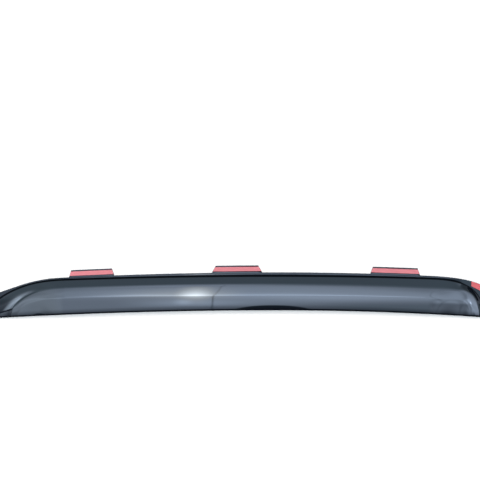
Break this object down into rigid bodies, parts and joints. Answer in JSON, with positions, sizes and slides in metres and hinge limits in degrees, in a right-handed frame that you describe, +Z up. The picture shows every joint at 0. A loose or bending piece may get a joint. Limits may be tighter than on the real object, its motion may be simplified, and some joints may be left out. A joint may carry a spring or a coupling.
{
  "type": "window rain deflector",
  "caption": "Curved smoked acrylic rain deflector for a rear door window, with a tabbed flange and foam tape that fix it inside the window channel.",
  "frame": {"origin": "middle of the middle tab's tape, on the outer face of its release liner", "axes": "+X to the front of the car, +Z up, -Y out of the car, for a right-hand door"},
  "size_m": [0.764, 0.0323, 0.0772],
  "materials": {
    "smoked_acrylic": "polished",
    "foam_tape": "matte",
    "release_liner": "satin"
  },
  "bodies": {
    "root": {"visor": "smoked_acrylic", "tape_rear_tab": "foam_tape", "tape_middle_tab": "foam_tape", "tape_front_tab": "foam_tape", "tape_rear_end": "foam_tape", "tape_front_end": "foam_tape", "liner_rear_tab": "release_liner", "liner_middle_tab": "release_liner", "liner_front_tab": "release_liner", "liner_rear_end": "release_liner", "liner_front_end": "release_liner"}
  },
  "joints": []
}
